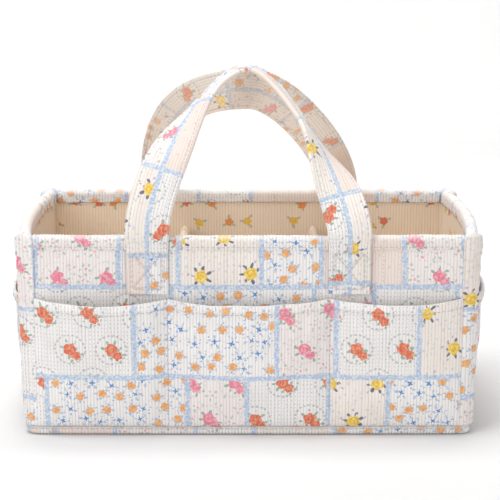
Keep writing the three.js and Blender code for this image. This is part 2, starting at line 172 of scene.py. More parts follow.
# Each handle: its crown, how its two legs rise to it, where they twist, and its place on the print
handles = {
    "front": {
        "crown_height": 0.127,
        "crown_depth": -0.012,
        "rises": (0.052, 0.034),
        "crowns": (0.034, 0.028),
        "twist_shares": ((0.14, 0.82), (0.03, 0.58)),
        "twist": math.radians(90),
        "print_column": 2,
    },
    "back": {
        "crown_height": 0.107,
        "crown_depth": 0.012,
        "rises": (0.066, 0.034),
        "crowns": (0.060, 0.032),
        "twist_shares": ((0.1, 0.6), (0.1, 0.6)),
        "twist": math.radians(8),
        "print_column": 5,
    },
}

# Dividers and tapes
divider_places = {"left": -0.060, "right": 0.060}
divider_thickness = 0.008
divider_corner = 0.014
divider_edge = 0.0003
divider_top = 0.004
divider_fold_share = 0.3
divider_print_spread = 9
tape_low, tape_high = (corner.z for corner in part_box("front_loop_tape"))
tape_thickness = 0.0012
tape_bevel = tape_thickness * 0.35
tape_margin = 0.004

# Stitches
stitch_pitch = 0.0042
stitch_length = 0.0031
stitch_radius = 0.00035
stitch_sides = 5
thread_step = 0.001

# Ribs of the cloth, and the places of a rib's edges and of the groove between two
rib_pitch = 0.0027
rib_depth = 0.00024
groove_share = 0.26
least_rib_step = 0.0002

# How far from a seam or a sewn strap end the padding is pressed flat
press_reach = 0.016

# Waves in the cloth: how high, and how far apart
rim_pucker_height, rim_pucker_spacing = 0.0004, 0.006
rim_wave, rim_sway = (0.0004, 0.008), (0.0005, 0.04)
mouth_wave = (0.0007, 0.02)
roll_wave, roll_sway = (0.0006, 0.009), (0.0006, 0.03)
foot_wave = (0.0003, 0.007)
strap_crease, strap_sway = (0.0006, 0.007), (0.0005, 0.022)

# Relaxing of the cloth. The wave's spacing is in steps of the mesh
relax_mesh = 0.0034
relax_wave = (0.0004, 5)
relax_frames = 20
relax_settings = {
    "quality": 5,
    "mass": 0.01,
    "bending_stiffness": 0.02,
    "vertex_group_mass": "held",
    "uniform_pressure_force": 4,
}
pad_growth = 0.005
band_growth = 0.012
relax_cap = 0.0028
crumple_cap = 0.0012
blur_reach = 4

# Print: patches of cloth with pale sashing between them, in metres of cloth
patch_width = 0.118
patch_height = 0.076
patch_lift = 0.023
patch_split = 0.42
sash_width = 0.0042
soft_edge = 0.0003
dot_pitch = 0.0034
lace_pitch = 0.0125
weave_pitch = 0.0006
fuzz_pitch = 0.0007
twist_pitch = 0.0008
relief_depth = 0.0003
cotton_sheen = 0.12
specular_level = 0.15
second_place = (0.0050, -0.0056)
sprig_shift = (0.011, 0.005)
motif_turn = 6.28

# Repeats: a cell's width and height, and how far a motif strays in it
motif_cell = (0.040, 0.031, 0.16)
sprig_cell = (0.0155, 0.0120, 0.5)
lining_cell = (0.022, 0.019, 0.5)

# Waver of the print's edges: its spacing and its reach
print_waver = (0.0045, 0.0022)
lining_waver = (0.004, 0.002)

# Leaves round a spot: how many, how far out, how long and how wide
main_leaves = (7, 0.0070, 0.0023, 0.0012)
second_leaves = (5, 0.0056, 0.0020, 0.0010)
wreath = (21, 0.0126, 0.0008, 0.0014)
berries = (5, 0.0108, 0.0013, 0.0009)
sprig = (5, 0.0044, 0.0018, 0.0011)
twig = (7, 0.0064, 0.0011, 0.0006)
lining_leaves = (3, 0.0052, 0.0022, 0.0012)

# Blossoms: radius, petals, how far the edge goes in between them, and where given how soft it is
blossom = (0.0058, 5, 0.09)
second_blossom = (0.0044, 5, 0.12)
bud = (0.0014, 3, 0.3)
star = (0.0040, 5, 0.17, 0.0005)
drop = (0.0024, 4, 0.30)
lining_blossom = (0.0042, 5, 0.12)

# Camera and lights. Each light: place, size across, power and what it points at
camera_distance = 1.7
camera_elevation = math.radians(11)
camera_lens = 147.5
camera_sensor = 36
camera_aim = Vector((0.0012, -0.120, 0.1597))
box_middle = (0, 0, 0.12)
lights = {
    "key": ((-1.1, -1.7, 0.9), 0.8, 9.5, box_middle),
    "fill": ((1.3, -1.6, 0.3), 1.2, 5, box_middle),
    "top": ((-0.5, -0.4, 2.1), 1.0, 17, box_middle),
    "bounce": ((0, 0, 0.19), 0.24, 0.06, (0, 0, 1)),
    "backdrop": ((0.0, 0.7, 2.6), 1.6, 38, (0, 2.4, 0.6)),
}
sky_colour = (1, 0.99, 0.98, 1)
sky_strength = 0.46
studio_half_width = 5.0
studio_front = -4.0
studio_back = 1.6
studio_bend = 0.8
studio_height = 4.0


def tone(red, green, blue):
    """A screen colour from 0 to 255 as the linear colour that a shader takes."""
    linear = []
    for value in (red, green, blue):
        share = value / 255
        linear.append(share / 12.92 if share <= 0.04045 else ((share + 0.055) / 1.055) ** 2.4)
    return (*linear, 1)


white = tone(243, 241, 239)
cream = tone(243, 238, 232)
blush = tone(243, 238, 236)
oat = tone(239, 227, 220)
# Tan is partly the lining's own colour and partly painted shade of the box's inside; it also paints the
# shade on strap undersides
tan = tone(243, 225, 203)
pale_blue = tone(192, 209, 230)
mid_blue = tone(136, 168, 212)
bright_blue = tone(96, 146, 202)
navy = tone(60, 70, 104)
rose = tone(236, 140, 160)
pale_rose = tone(246, 184, 196)
deep_rose = tone(206, 92, 118)
coral = tone(226, 118, 92)
pale_coral = tone(240, 160, 122)
deep_coral = tone(190, 78, 66)
yellow = tone(240, 200, 78)
pale_yellow = tone(248, 226, 136)
amber = tone(196, 140, 44)
orange = tone(238, 158, 84)
pale_orange = tone(246, 190, 124)
leaf_green = tone(140, 170, 150)
grey_rib = tone(211, 205, 206)
pink_rib = tone(224, 206, 205)
beige_rib = tone(222, 204, 192)
lilac = tone(186, 174, 214)
soft_grey = tone(126, 131, 138)
tan_groove = tone(222, 200, 177)
pale_thread = tone(228, 223, 221)
dark_thread = tone(190, 184, 182)


def feed(node, inputs):
    """Joins each of a node's inputs to a term or a socket, or sets it to a value."""
    for name, value in inputs.items():
        source = value.value if isinstance(value, Term) else value
        if isinstance(source, bpy.types.NodeSocket):
            node.id_data.links.new(source, node.inputs[name])
        else:
            node.inputs[name].default_value = source


def add_node(tree, kind, inputs, **settings):
    node = tree.nodes.new(f"ShaderNode{kind}")
    for name, value in settings.items():
        setattr(node, name, value)
    feed(node, inputs)
    return node


class Term:
    """A number in a shader, so that a print reads as sums."""

    def __init__(self, value):
        self.value = value

    def join(self, operation, *others):
        inputs = dict(enumerate((self, *others)))
        return Term(add_node(self.value.id_data, "Math", inputs, operation=operation).outputs[0])

    __add__ = partialmethod(join, "ADD")
    __sub__ = partialmethod(join, "SUBTRACT")
    __mul__ = partialmethod(join, "MULTIPLY")
    __truediv__ = partialmethod(join, "DIVIDE")
    below = partialmethod(join, "MINIMUM")
    above = partialmethod(join, "MAXIMUM")
    floor = partialmethod(join, "FLOOR")
    fraction = partialmethod(join, "FRACT")
    size = partialmethod(join, "ABSOLUTE")
    cosine = partialmethod(join, "COSINE")
    sine = partialmethod(join, "SINE")

    def rest(self):
        return self * -1 + 1

    def smooth(self, low, high):
        """0 at low, 1 at high, and a soft step between them."""
        inputs = {"Value": self, "From Min": low, "From Max": high}
        node = add_node(self.value.id_data, "MapRange", inputs, interpolation_type="SMOOTHSTEP")
        return Term(node.outputs["Result"])


class Cloth:
    """The shader of one fabric, with the cloth's own coordinates in metres."""

    def __init__(self, name, colour):
        self.colour = colour
        self.material = bpy.data.materials.new(name)
        self.material.use_nodes = True
        self.tree = self.material.node_tree
        self.shader = self.tree.nodes["Principled BSDF"]
        plane = add_node(self.tree, "UVMap", {}, uv_map="cloth")
        self.x, self.y, _ = self.parts(plane.outputs["UV"])

    def parts(self, vector):
        """A vector's X, Y and Z."""
        return [Term(output) for output in add_node(self.tree, "SeparateXYZ", {0: vector}).outputs]

    def vector(self, x, y):
        return add_node(self.tree, "CombineXYZ", {"X": x, "Y": y}).outputs[0]

    def noise(self, x, y, spacing, detail=2):
        inputs = {"Scale": 1 / spacing, "Detail": detail, "Vector": self.vector(x, y)}
        return Term(add_node(self.tree, "TexNoise", inputs, noise_dimensions="2D").outputs[0])

    def chance(self, x, y):
        """Three chance numbers from 0 to 1 that belong to a pair of whole numbers."""
        node = add_node(self.tree, "TexWhiteNoise", {"Vector": self.vector(x, y)}, noise_dimensions="2D")
        return self.parts(node.outputs["Color"])

    def wavered(self, term, shift, waver):
        """A coordinate that strays a little, so that printed edges aren't ruled."""
        spacing, reach = waver
        return term + (self.noise(self.x + shift, self.y, spacing) - 0.5) * reach

    def half_drop(self, x, y, cell):
        """A repeat whose rows are shifted by half: the way to the cell's middle, and its chance numbers."""
        width, height, stray = cell
        level = (y / height).floor()
        sideways = x / width + level * 0.5
        chance = self.chance(sideways.floor(), level)
        dx = (sideways.fraction() - 0.5 + (chance[0] - 0.5) * stray) * width
        dy = ((y / height).fraction() - 0.5 + (chance[1] - 0.5) * stray) * height
        return dx, dy, chance

    def ramp(self, share, *colours):
        """One of several colours, by a share from 0 to 1."""
        node = add_node(self.tree, "ValToRGB", {0: share})
        node.color_ramp.interpolation = "CONSTANT"
        elements = node.color_ramp.elements
        while len(elements) < len(colours):
            elements.new(0.5)
        for index, colour in enumerate(colours):
            elements[index].position = index / len(colours)
            elements[index].color = colour
        return node.outputs["Color"]

    def pick(self, share, *values):
        """One of several numbers from 0 to 1, by a share from 0 to 1."""
        return Term(self.ramp(share, *((value, value, value, 1) for value in values))) * 1

    def mix(self, share, under, over):
        """One colour over another, as far as the share says. The numbers are the node's colour sockets."""
        return add_node(self.tree, "Mix", {0: share, 6: under, 7: over}, data_type="RGBA").outputs[2]

    def lay(self, share, over):
        """Puts a colour over what is there, as far as the share says."""
        self.colour = self.mix(share, self.colour, over)

    def finish(self, height, depth, roughness, sheen=cotton_sheen):
        """Sets the colour, and a relief of that depth in metres from a height of 0 to 1."""
        bump = add_node(self.tree, "Bump", {"Distance": depth, "Height": height})
        feed(self.shader, {
            "Base Color": self.colour, "Roughness": roughness, "Sheen Weight": sheen,
            "Specular IOR Level": specular_level, "Normal": bump.outputs[0],
        })
        return self.material

    def grooves(self):
        """1 in the groove between two ribs, and 0 on a rib."""
        return (self.x * (2 * math.pi / rib_pitch)).cosine().smooth(0.35, 1)

    def weave(self):
        return self.noise(self.x, self.y, weave_pitch)

    def facing_up(self):
        """1 where the cloth faces up, as on top of a fold, and 0 where it stands upright."""
        surface = add_node(self.tree, "NewGeometry", {})
        return self.parts(surface.outputs["Normal"])[2].smooth(0.15, 0.75)


class Spot:
    """A place on the cloth in polar terms, for motifs that are drawn round it."""

    def __init__(self, dx, dy, turn):
        self.radius = (dx * dx + dy * dy).join("SQRT")
        self.angle = dy.join("ARCTAN2", dx) + turn

    def bloom(self, size, petals, depth, softness=soft_edge):
        """A round form whose edge goes in and out once for each petal."""
        edge = (self.angle * petals).cosine() * depth + (1 - depth)
        return (edge * size - self.radius).smooth(-softness, softness)

    def whorl(self, size):
        """The darker lines between the petals of a full blossom, as a spiral."""
        coil = (self.radius / size * 1.9 + self.angle / (2 * math.pi)).fraction()
        return coil.smooth(0.62, 0.95)

    def leaves(self, count, distance, length, width):
        """That many leaves round the spot, each pointing away from it."""
        share = (self.angle * (count / (2 * math.pi))).fraction() - 0.5
        turn = share * (2 * math.pi / count)
        out = (self.radius * turn.cosine() - distance) / length
        aside = (self.radius * turn.sine()) / width
        return (out * out + aside * aside).smooth(1.15, 0.75)


def printed_cotton(name, row_shift, painted_top_highlight, painted_under_shade):
    """A patchwork of ribbed cottons, each with its own blossoms, edged by pale-blue sashing. A painted
    highlight can whiten the tops of folds, where light from above falls, and painted shade can tint
    undersides tan."""
    fabric = Cloth(name, white)
    x = fabric.wavered(fabric.x, 0, print_waver)
    y = fabric.wavered(fabric.y, 0.37, print_waver)

    level = (y + patch_lift) / patch_height
    row = level.floor()
    across = x / patch_width + row * row_shift
    column = across.floor()
    place = across.fraction()
    split = fabric.chance(column, row)[0].smooth(0.44, 0.45)
    right = (place - patch_split).smooth(0, 0.0001) * split
    kind = ((column * 2 + row * 3 + right) / 5).fraction() + 0.1
    shown = partial(fabric.pick, kind)
    tones = partial(fabric.ramp, kind)

    groove = tones(pink_rib, grey_rib, beige_rib, grey_rib, beige_rib)
    rib_number = (fabric.x / rib_pitch + 0.5).floor()
    rib_tone = fabric.chance(rib_number, rib_number * 0)[0] * 0.6 + 0.4
    ribs = fabric.grooves() * rib_tone
    fabric.colour = tones(blush, white, cream, white, oat)
    fabric.lay(ribs * 0.8, groove)
    fabric.lay(fabric.noise(fabric.x, fabric.y, 0.05).smooth(0.35, 0.75) * 0.15, groove)

    # The large motifs: a full blossom, its leaves, a second blossom and a ring of leaflets. Dots lie
    # between the rings of the second kind, and fine lace lines run down the fifth
    dot_x = (x / dot_pitch).fraction() - 0.5
    dot_y = (y / dot_pitch).fraction() - 0.5
    dots = (dot_x * dot_x + dot_y * dot_y).smooth(0.03, 0.012)
    lace_line = ((x / lace_pitch).fraction() - 0.5).size().smooth(0.09, 0.05)
    dx, dy, chance = fabric.half_drop(x, y, motif_cell)
    spot = Spot(dx, dy, chance[2] * motif_turn)
    second = Spot(dx - second_place[0], dy - second_place[1], chance[1] * motif_turn)
    main_shown = shown(1, 1, 1, 0, 0)
    pair_shown = shown(1, 1, 0, 0, 0)
    petal = fabric.mix(
        fabric.noise(x, y, 0.0032).smooth(0.40, 0.64), tones(rose, coral, yellow, orange, coral),
        tones(pale_rose, pale_coral, pale_yellow, pale_orange, pale_coral),
    )
    heart = tones(deep_rose, deep_coral, amber, amber, deep_coral)
    clear = spot.radius.smooth(0.0125, 0.0140)
    fabric.lay(dots * shown(0, 1, 0, 0, 0) * clear * 0.42, soft_grey)
    fabric.lay(dots * shown(0, 0, 0, 0, 1) * lace_line * 0.45, deep_coral)
    ring = spot.leaves(*wreath) * shown(0.45, 1, 0.12, 0, 0)
    fabric.lay(ring * 0.46, tones(leaf_green, soft_grey, orange, navy, navy))
    leaves = spot.leaves(*main_leaves).above(second.leaves(*second_leaves) * pair_shown)
    leafy = fabric.noise(x, y, 0.0050, 1).smooth(0.36, 0.46)
    leaf_tone = tones(leaf_green, leaf_green, navy, bright_blue, leaf_green)
    fabric.lay(leaves * leafy * main_shown * 0.85, leaf_tone)
    fabric.lay(spot.leaves(*berries) * shown(0, 0, 0.8, 0, 0), lilac)
    bloom = spot.bloom(*blossom)
    other = second.bloom(*second_blossom) * pair_shown
    fabric.lay(bloom.above(other) * main_shown, petal)
    lines = (spot.whorl(blossom[0]) * bloom).above(second.whorl(second_blossom[0]) * other)
    fabric.lay(lines * main_shown * 0.6, heart)

    # The small motifs between them: five-petal flowers, sprigs and buds
    dx, dy, chance = fabric.half_drop(x + sprig_shift[0], y + sprig_shift[1], sprig_cell)
    spot = Spot(dx, dy, chance[2] * motif_turn)
    away = main_shown.rest().above(clear)
    sprayed = shown(0, 0, 0, 1, 0)
    flowered = chance[2].smooth(0.38, 0.39)
    patchy = fabric.noise(x, y, 0.0022, 1).smooth(0.38, 0.52)
    sprigs = spot.leaves(*sprig) * patchy * shown(0.8, 0, 0.4, 1, 0)
    twigs = spot.leaves(*twig) * patchy * sprayed
    sprig_tone = tones(leaf_green, soft_grey, mid_blue, mid_blue, coral)
    fabric.lay(sprigs.above(twigs) * away * 0.7, sprig_tone)
    buds = spot.bloom(*bud) * shown(1, 0, 0.35, 0, 0.35)
    stars = spot.bloom(*star) * flowered * sprayed
    fabric.lay(buds.above(stars) * away * 0.92, petal)
    fabric.lay(spot.whorl(star[0]) * stars * 0.45, heart)
    fabric.lay(spot.bloom(*drop) * flowered.rest() * sprayed, bright_blue)

    # The sashing round each patch
    edge = place.below(place.rest()).below((place - patch_split).size() + split.rest())
    rise = level.fraction().below(level.fraction().rest())
    nearest = (edge * patch_width).below(rise * patch_height)
    sash = nearest.smooth(sash_width / 2 + soft_edge, sash_width / 2 - soft_edge)
    flecks = fabric.noise(fabric.x, fabric.y, 0.0021, 1).smooth(0.50, 0.62)
    pale_flecks = fabric.noise(fabric.x + 0.71, fabric.y, 0.0026, 1).smooth(0.54, 0.64)
    band = fabric.mix(flecks * 0.55, pale_blue, mid_blue)
    fabric.lay(sash * 0.92, fabric.mix(pale_flecks * 0.6, band, white))

    fabric.lay(ribs * 0.22, groove)
    # Painted highlight: where the cloth faces up, as on top of a fold, it is made whiter, as light from
    # above would make it
    if painted_top_highlight:
        fabric.lay(fabric.facing_up() * 0.45, white)
    # Painted shade: undersides are tinted towards tan, as they lie in shade
    if painted_under_shade:
        fabric.lay(fabric.grooves() * 0.1 + 0.35, tan)
    return fabric.finish(fabric.grooves() * -0.5 + fabric.weave() * 0.35, relief_depth, 0.92)


def lining_cotton():
    """The tan cloth inside, ribbed and sparsely printed. Its tan is partly the lining's own colour and
    partly painted shade of the box's inside.
    """
    fabric = Cloth("lining_cotton", tan)
    x = fabric.wavered(fabric.x, 0, lining_waver)
    fabric.lay(fabric.grooves() * 0.5, tan_groove)
    dx, dy, chance = fabric.half_drop(x, fabric.y, lining_cell)
    spot = Spot(dx, dy, chance[0] * motif_turn)
    shown = chance[1].smooth(0.4, 0.41)
    fabric.lay(spot.leaves(*lining_leaves) * shown * 0.6, leaf_green)
    bloom = spot.bloom(*lining_blossom) * shown
    fabric.lay(bloom * 0.9, fabric.ramp(chance[2], yellow, orange, coral))
    fabric.lay(spot.whorl(lining_blossom[0]) * bloom * 0.5, deep_coral)
    return fabric.finish(fabric.grooves() * -0.6 + fabric.weave() * 0.3, relief_depth, 0.95)


def plain_fabric(name, light, dark, spacing, limits, depth, roughness, sheen):
    """A cloth of one tone, varied by the slub or fuzz in it."""
    fabric = Cloth(name, tone(*light))
    fabric.lay(fabric.noise(fabric.x, fabric.y, spacing, 3).smooth(*limits), tone(*dark))
    return fabric.finish(fabric.noise(fabric.x, fabric.y, fuzz_pitch), depth, roughness, sheen)


def thread():
    fabric = Cloth("thread", pale_thread)
    twist = ((fabric.x + fabric.y) / twist_pitch).fraction()
    fabric.lay(twist, dark_thread)
    return fabric.finish(twist, 0.0001, 0.7)


wall_print = printed_cotton("printed_cotton", 0.37, painted_top_highlight=True, painted_under_shade=False)
strap_print = printed_cotton("printed_cotton_strap", 0, painted_top_highlight=False, painted_under_shade=False)
# The same print with painted shade, for the straps' undersides
strap_print_painted_shade = printed_cotton("printed_cotton_shaded", 0, painted_top_highlight=False, painted_under_shade=True)
lining_cloth = lining_cotton()
tape_finish, board_finish, floor_finish = (plain_fabric(*plain) for plain in (
    ("fastening_tape", (250, 248, 245), (230, 226, 221), 0.0009, (0.35, 0.65), 0.0006, 1, 0.4),
    ("grey_board", (176, 170, 160), (150, 144, 135), 0.002, (0.3, 0.7), 0.0002, 0.85, 0),
    ("studio_floor", (240, 240, 240), (237, 237, 237), 0.3, (0.3, 0.7), 0.0001, 0.7, 0),
))
thread_finish = thread()


def spread(count, start, end):
    """count + 1 even places from start to end."""
    return [start + (end - start) * i / count for i in range(count + 1)]


def smoothstep(share, limits):
    t = min(1, max(0, (share - limits[0]) / (limits[1] - limits[0])))
    return t * t * (3 - 2 * t)


def travelled(points):
    """How far along a path each of its points lies."""
    return [0.0, *accumulate((b - a).length for a, b in zip(points, points[1:]))]


def soft_noise(a, b, spacing, seed):
    """Smooth chance between -1 and 1, the same at every run."""
    return noise.noise(Vector((a / spacing, b / spacing, seed)))


def ripple(wave, a, b, seed):
    height, spacing = wave
    return height * soft_noise(a, b, spacing, seed)


def rib_places(start, end, shift):
    """Places from start to end at every groove and rib edge. Each plus shift is a place on the cloth."""
    places = [start]
    first = math.floor((start + shift) / rib_pitch)
    last = math.ceil((end + shift) / rib_pitch)
    for number in range(first, last + 1):
        for share in (0, groove_share, 1 - groove_share):
            place = (number + share) * rib_pitch - shift
            if start + least_rib_step < place < end - least_rib_step:
                places.append(place)
    return places + [end]


def groove(cloth_place):
    """How deep the cloth lies below its ribs at a place."""
    share = (cloth_place / rib_pitch) % 1
    return rib_depth * max(0, 1 - min(share, 1 - share) / groove_share)


def add_object(name, data):
    item = bpy.data.objects.new(name, data)
    scene.collection.objects.link(item)
    return item


def build(name, vertices, faces, corners, material):
    """A smooth mesh object. corners has the cloth coordinates of each face's corners."""
    mesh = bpy.data.meshes.new(name)
    mesh.from_pydata(vertices, [], faces)
    layer = mesh.uv_layers.new(name="cloth")
    layer.data.foreach_set("uv", [value for face in corners for place in face for value in place])
    mesh.polygons.foreach_set("use_smooth", [True] * len(mesh.polygons))
    mesh.materials.append(material)
    work = bmesh.new()
    work.from_mesh(mesh)
    bmesh.ops.recalc_face_normals(work, faces=work.faces)
    work.to_mesh(mesh)
    work.free()
    return add_object(name, mesh)


def loft(name, loops, coordinate, material, ring=False):
    """Joins loops of points into one closed piece. coordinate(i, j) gives the cloth coordinates
    of point j of loop i, and j may be one past the last, where a loop closes."""
    count = len(loops[0])
    faces = []
    corners = []
    for i in range(len(loops) if ring else len(loops) - 1):
        for j in range(count):
            square = ((i, j), (i, j + 1), (i + 1, j + 1), (i + 1, j))
            faces.append(tuple(a % len(loops) * count + b % count for a, b in square))
            corners.append(tuple(coordinate(*place) for place in square))
    if not ring:
        for i in (0, len(loops) - 1):
            faces.append(tuple(i * count + j for j in range(count)))
            corners.append(tuple(coordinate(i, j) for j in range(count)))
    return build(name, [point for loop in loops for point in loop], faces, corners, material)


def settle(piece, body, slot, *nodes):
    """Fixes a piece to its body, and lets it stand for its solids. slot, the finish's name, is not used."""
    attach(piece, body)
    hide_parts(*nodes)


def averaged(line):
    """A row of values, each made the mean of those near it."""
    parts = [line[max(0, index - blur_reach):index + blur_reach + 1] for index in range(len(line))]
    return [sum(part) / len(part) for part in parts]


def blurred(grid):
    """The grid's broad form, without its small folds."""
    return zip(*[averaged(row) for row in zip(*map(averaged, grid))])


class Relief:
    """Where a piece of cloth comes to rest, found once by Blender's cloth on a flat copy of it.
    The copy is held along its border and along the seams, and closed where it has a pad."""

    def __init__(self, width, height, growth, seams=(), pad=0.0, hung=False):
        self.width = width
        self.height = height
        self.columns = round(width / relax_mesh)
        self.rows = round(height / relax_mesh)
        self.moves = None
        self.relax(growth, seams, pad, hung)

    def relax(self, growth, seams, pad, hung):
        columns, rows, step = self.columns, self.rows, self.rows + 1
        held_columns = {0, columns} | {round((seam / self.width + 0.5) * columns) for seam in seams}
        points = []
        pins = []
        for i in range(columns + 1):
            for j in range(step):
                if i in held_columns or j == 0 or (j == rows and not hung):
                    pins.append(len(points))
                wave = ripple(relax_wave, i, j, 7.7)
                points.append(Vector(((i / columns - 0.5) * self.width, wave, j / rows * self.height)))
        starts = [i * step + j for i in range(columns) for j in range(rows)]
        faces = [(a, a + step, a + step + 1, a + 1) for a in starts]
        count = len(points)
        if pad:
            edge = [*range(0, columns * step, step), *range(columns * step, count - 1)]
            edge += [*range(count - 1, rows, -step), *range(rows, 0, -1)]
            back = [*range(count, count + len(edge))]
            pins += back
            points += [points[index] + Vector((0, pad, 0)) for index in edge]
            faces += zip(edge[1:] + edge[:1], edge, back, back[1:] + back[:1])
            faces.append(back[::-1])
        mesh = bpy.data.meshes.new("relaxing")
        mesh.from_pydata(points, [], faces)
        sheet = add_object("relaxing", mesh)
        sheet.vertex_groups.new(name="held").add(pins, 1.0, "REPLACE")
        settings = sheet.modifiers.new("cloth", "CLOTH").settings
        for name, value in relax_settings.items():
            setattr(settings, name, value)
        settings.use_pressure = bool(pad)
        settings.shrink_min = settings.shrink_max = -growth
        settings.effector_weights.gravity = 1 if hung else 0
        for number in range(1, relax_frames + 1):
            scene.frame_set(number)
        result = sheet.evaluated_get(bpy.context.evaluated_depsgraph_get()).data.vertices
        out = [-vertex.co.y for vertex in result[:count]]
        bpy.data.objects.remove(sheet)
        scene.frame_set(1)
        grid = [out[start:start + step] for start in range(0, count, step)]
        self.moves = []
        for fine_column, broad_column in zip(grid, blurred(grid)):
            column = []
            for fine, broad in zip(fine_column, broad_column):
                crumple = crumple_cap * math.tanh((fine - broad) / crumple_cap)
                column.append(relax_cap * math.tanh(broad / relax_cap) + crumple)
            self.moves.append(column)

    def at(self, distance, height):
        """How far out the cloth lies at a place, measured from its middle and from its foot."""
        if not self.moves:
            return 0.0
        x = min(0.9999, max(0, distance / self.width + 0.5)) * self.columns
        y = min(0.9999, max(0, height / self.height)) * self.rows
        i, j = int(x), int(y)
        u, v = x - i, y - j
        near, far = (column[j] * (1 - v) + column[j + 1] * v for column in self.moves[i:i + 2])
        return near * (1 - u) + far * u


class Wall:
    """One side of the box. `out` points away from it, `along` runs right seen from outside."""

    def __init__(self, name, out, print_shift):
        self.name = name
        self.out = Vector(out)
        self.along = Vector((0, 0, 1)).cross(self.out)
        self.print_shift = print_shift
        self.is_long = name in ("front", "back")
        self.turn = 1 if name in ("front", "left") else -1
        self.relief = None
        sizes = [(body_width, side_draw), (body_depth, front_draw)]
        (self.length, self.length_draw), (across, self.reach_draw) = sizes if self.is_long else sizes[::-1]
        self.reach = across / 2
        self.puff = front_puff if self.is_long else side_puff
        self.panel_half = self.half(layer_bottom) - panel_inset

    def half(self, height):
        return self.length / 2 - self.length_draw * (1 - height / body_height)

    def swell(self, distance, height):
        share = distance / (self.half(height) - corner_radius)
        height_share = floor_puff_share + (1 - floor_puff_share) * height / body_height
        return self.puff * height_share * max(0, 1 - share * share)

    def point(self, distance, height, offset):
        reach = self.reach - self.reach_draw * (1 - height / body_height)
        reach += self.swell(distance, height) + offset
        return self.along * distance + self.out * reach + Vector((0, 0, height))

    def spot(self, distance, height, offset):
        """A place of the wall's cloth, which widens upwards with the wall and reaches its corner rolls."""
        fan = (self.half(height) - panel_inset) / self.panel_half
        return self.point(distance * fan, height, offset)

    def padding_rise(self, distance, height):
        """How far the relaxed padding stands out. Seams and sewn strap ends press it flat."""
        free = 1.0
        if self.is_long:
            beside = abs(abs(distance) - handle_spacing / 2) - strap_end_width / 2
            under = strap_end_bottom - height
            free = smoothstep(max(beside, under), (0, press_reach))
            if height < pocket_mouth + press_reach:
                seam = min(abs(distance - place) for place in long_seams)
                above = max(0, height - pocket_mouth)
                free *= smoothstep(max(seam, above), (0, press_reach))
        return free * self.relief.at(distance * self.turn, height - layer_bottom)


walls = {
    name: Wall(name, out, print_shift)
    for name, out, print_shift in (
        ("front", (0, -1, 0), 0.020), ("back", (0, 1, 0), 0.505),
        ("left", (-1, 0, 0), 1.010), ("right", (1, 0, 0), 1.390),
    )
}


def valued(value, *place):
    """A value that holds everywhere, or what a function gives for a place."""
    return value(*place) if callable(value) else value


def wall_layer(name, wall, distances, rows, inner, outer, material, shift=0.0, back_rows=None):
    """A layer on a wall. rows are the heights of its points on the outer face, and back_rows on the
    inner one; inner and outer are the two faces' offsets. All but back_rows may be functions."""
    loops = []
    places = []
    for distance in distances:
        heights = valued(rows, distance)
        behind = (back_rows or heights)[::-1]
        loop = [wall.spot(distance, z, valued(outer, distance, z)) for z in heights]
        loop += [wall.spot(distance, z, valued(inner, distance, z)) for z in behind]
        loops.append(loop)
        places.append([(distance + wall.print_shift + shift, z) for z in heights + behind])
    return loft(name, loops, lambda i, j: places[i][j % len(places[i])], material)


def padded_wall(wall):
    """The printed outer cloth and the padding under it, with puckers below the rim's seam."""
    shift = wall.print_shift

    def outer(distance, z):
        drop = max(0, hem_bottom - z)
        height = rim_pucker_height * math.exp(-drop / pucker_reach)
        pucker = height * (soft_noise(distance, drop * 0.1, rim_pucker_spacing, shift) - 0.5)
        return wall.padding_rise(distance, z) + pucker - groove(distance + shift)

    piece = wall_layer(
        f"{wall.name}_padded_wall", wall, rib_places(-wall.panel_half, wall.panel_half, shift),
        spread(wall_rows, layer_bottom, layer_top), -(cloth + gap + padding), outer,
        wall_print, back_rows=[layer_bottom, layer_top],
    )
    settle(piece, "box", "printed_cotton", f"{wall.name}_outer_panel", f"{wall.name}_padding")


def wall_lining(wall):
    half = wall.panel_half

    def inner(distance, z):
        rise = max(0, wall.relief.at(distance, z - layer_bottom))
        if wall.is_long and tape_low - tape_margin < z < tape_high + tape_margin:
            rise = 0
        return -wall_thickness - lining_rise_share * rise + groove(distance + wall.print_shift)

    piece = wall_layer(
        f"{wall.name}_lining_cloth", wall, rib_places(-half, half, wall.print_shift),
        spread(lining_rows, layer_bottom, layer_top), inner, -wall_thickness + cloth, lining_cloth,
    )
    settle(piece, "box", "lining_cotton", f"{wall.name}_lining")


def rim_binding(wall):
    """The cloth folded over the top of a wall, its ribs running over the fold."""
    middle = -wall_thickness / 2
    half = wall.half(layer_top) - panel_inset
    shift = wall.print_shift
    places = rib_places(-half, half, shift)

    def section(distance, radius):
        wave = ripple(rim_wave, distance, radius, shift) + ripple(rim_sway, distance, 1, shift)
        deep = groove(distance + shift) * rim_rib_growth
        points = [(middle + radius - deep, z) for z in spread(6, hem_bottom, layer_top)[:-1]]
        crown = radius + wave - deep
        for angle in spread(14, 0, math.pi):
            points.append((middle + crown * math.cos(angle), layer_top + crown * math.sin(angle)))
        return points + [(middle - radius + deep, z) for z in spread(6, layer_top, hem_bottom)[1:]]

    loops = []
    for place in places:
        loop = []
        for offset, z in section(place, rim_radius) + section(place, rim_radius - cloth)[::-1]:
            distance = place / half * (wall.half(min(z, body_height)) - panel_inset)
            loop.append(wall.point(distance, z, offset))
        loops.append(loop)
    count = len(loops[0])

    def coordinate(i, j):
        across = min(j % count, count - 1 - j % count)
        return (places[i] + shift, hem_bottom + across * rim_print_step)

    piece = loft(f"{wall.name}_rim_fold", loops, coordinate, wall_print)
    settle(piece, "box", "printed_cotton", f"{wall.name}_rim_binding")


def rim_stitches(wall):
    """The seam that closes the rim's fold, a little above its lower edge."""
    z = body_height - hem_stitch_drop
    half = wall.half(z) - panel_inset
    line = [wall.point(d, z, -wall_thickness / 2 + rim_radius) for d in spread(160, -half, half)]
    stitches(f"{wall.name}_rim_stitches", [line], wall.out, "box")


